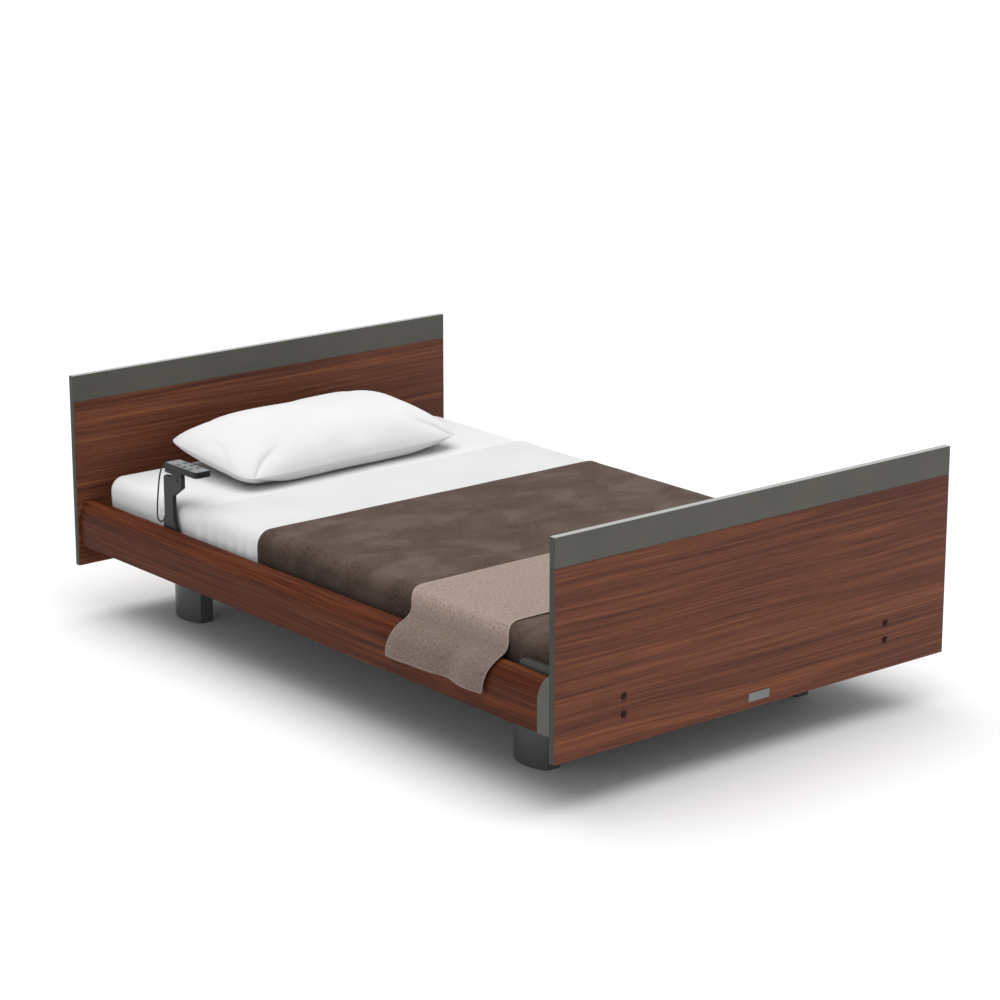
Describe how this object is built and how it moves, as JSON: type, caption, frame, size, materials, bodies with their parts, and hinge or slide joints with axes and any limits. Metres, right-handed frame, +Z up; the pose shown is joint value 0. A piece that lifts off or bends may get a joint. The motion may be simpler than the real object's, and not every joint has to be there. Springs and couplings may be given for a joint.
{
  "type": "adjustable hospital bed",
  "caption": "Electric adjustable care bed with walnut head and foot boards, walnut side rails, telescoping legs, hinged back, thigh and calf sections, a wired handset on a post, and bedding.",
  "frame": {"origin": "on the floor, in the middle of the bed's length and width", "axes": "+X across the bed to the right, +Y along the bed to the head end, +Z up"},
  "size_m": [1.316, 2.1026, 0.692],
  "materials": {
    "board_walnut": "walnut veneer with a thin satin lacquer",
    "rail_walnut": "walnut foil with a soft sheen",
    "trim_plastic": "fine-grained satin",
    "leg_paint": "satin powder coat",
    "frame_paint": "satin powder coat",
    "steel": "brushed",
    "plate_metal": "satin, blank",
    "dark_plastic": "satin moulded",
    "grey_plastic": "satin moulded",
    "key_rubber": "matte",
    "panel_plastic": "textured moulded",
    "linen": "plain weave cotton",
    "blanket_cloth": "short brushed pile",
    "throw_cloth": "heathered twill weave"
  },
  "bodies": {
    "base": {"leg_housing_foot_right": "leg_paint", "leg_housing_foot_left": "leg_paint", "leg_housing_head_right": "leg_paint", "leg_housing_head_left": "leg_paint", "base_frame": "frame_paint"},
    "lift_stage": {"lift_stage_foot_right": "steel", "lift_stage_foot_left": "steel", "lift_stage_head_right": "steel", "lift_stage_head_left": "steel"},
    "frame": {"lift_beam_foot": "frame_paint", "lift_beam_head": "frame_paint", "side_tube_right": "frame_paint", "side_tube_left": "frame_paint", "seat_cross_tube": "frame_paint", "thigh_cross_tube": "frame_paint", "headboard_panel": "board_walnut", "headboard_band": "trim_plastic", "headboard_mount_bar": "steel", "footboard_panel": "board_walnut", "footboard_band": "trim_plastic", "footboard_mount_bar": "steel", "nameplate": "plate_metal", "side_rail_right": "rail_walnut", "side_rail_left": "rail_walnut", "rail_end_cap_right": "trim_plastic", "rail_end_cap_left": "trim_plastic", "seat_panel": "panel_plastic", "back_hinge_pin": "steel", "knee_hinge_pin": "steel", "mattress_seat": "linen", "control_box": "dark_plastic", "back_actuator": "dark_plastic", "knee_actuator": "dark_plastic"},
    "back": {"back_panel": "panel_plastic", "back_lever": "frame_paint", "mattress_back": "linen", "top_sheet": "linen", "pillow": "linen", "handset_post": "dark_plastic", "handset_body": "grey_plastic", "handset_cord": "dark_plastic"},
    "thigh": {"thigh_panel": "panel_plastic", "knee_lever": "frame_paint", "calf_hinge_pin": "steel", "mattress_thigh": "linen", "blanket_thigh": "blanket_cloth"},
    "calf": {"calf_panel": "panel_plastic", "mattress_calf": "linen", "blanket_calf": "blanket_cloth", "throw_runner": "throw_cloth", "mattress_stop_right": "trim_plastic", "mattress_stop_left": "trim_plastic"},
    "back_rod": {"back_actuator_rod": "steel"},
    "knee_rod": {"knee_actuator_rod": "steel"},
    "button_back_up": {"button_back_up": "key_rubber"},
    "button_back_down": {"button_back_down": "key_rubber"},
    "button_knee_up": {"button_knee_up": "key_rubber"},
    "button_knee_down": {"button_knee_down": "key_rubber"},
    "button_height_up": {"button_height_up": "key_rubber"},
    "button_height_down": {"button_height_down": "key_rubber"}
  },
  "joints": [
    {"name": "height_lift", "type": "slide", "parent": "base", "child": "frame", "axis": [0, 0, 1], "range_m": [0, 0.34]},
    {"name": "stage_lift", "type": "slide", "parent": "base", "child": "lift_stage", "axis": [0, 0, 1], "range_m": [0, 0.17]},
    {"name": "back_raise", "type": "hinge", "parent": "frame", "child": "back", "pos_m": [0, 0.176, 0.274], "axis": [1, 0, 0], "range_deg": [0, 70]},
    {"name": "knee_raise", "type": "hinge", "parent": "frame", "child": "thigh", "pos_m": [0, -0.024, 0.274], "axis": [-1, 0, 0], "range_deg": [0, 30]},
    {"name": "calf_fold", "type": "hinge", "parent": "thigh", "child": "calf", "pos_m": [0, -0.354, 0.274], "axis": [1, 0, 0], "range_deg": [0, 44.6]},
    {"name": "back_rod_slide", "type": "slide", "parent": "frame", "child": "back_rod", "axis": [0, 1, 0], "range_m": [0, 0.1149]},
    {"name": "knee_rod_slide", "type": "slide", "parent": "frame", "child": "knee_rod", "axis": [0, -1, 0], "range_m": [0, 0.0519]},
    {"name": "press_back_up", "type": "slide", "parent": "back", "child": "button_back_up", "axis": [0, 0, -1], "range_m": [0, 0.001], "stiffness_N_per_m": 400, "springref_m": -0.0003},
    {"name": "press_back_down", "type": "slide", "parent": "back", "child": "button_back_down", "axis": [0, 0, -1], "range_m": [0, 0.001], "stiffness_N_per_m": 400, "springref_m": -0.0003},
    {"name": "press_knee_up", "type": "slide", "parent": "back", "child": "button_knee_up", "axis": [0, 0, -1], "range_m": [0, 0.001], "stiffness_N_per_m": 400, "springref_m": -0.0003},
    {"name": "press_knee_down", "type": "slide", "parent": "back", "child": "button_knee_down", "axis": [0, 0, -1], "range_m": [0, 0.001], "stiffness_N_per_m": 400, "springref_m": -0.0003},
    {"name": "press_height_up", "type": "slide", "parent": "back", "child": "button_height_up", "axis": [0, 0, -1], "range_m": [0, 0.001], "stiffness_N_per_m": 400, "springref_m": -0.0003},
    {"name": "press_height_down", "type": "slide", "parent": "back", "child": "button_height_down", "axis": [0, 0, -1], "range_m": [0, 0.001], "stiffness_N_per_m": 400, "springref_m": -0.0003}
  ],
  "couplings": [
    {"joint": "stage_lift", "follows": "height_lift", "ratio": 0.5},
    {"joint": "calf_fold", "follows": "knee_raise", "ratio": 1.4867},
    {"joint": "back_rod_slide", "follows": "back_raise", "m_per_rad": 0.0939},
    {"joint": "knee_rod_slide", "follows": "knee_raise", "m_per_rad": 0.09886}
  ]
}
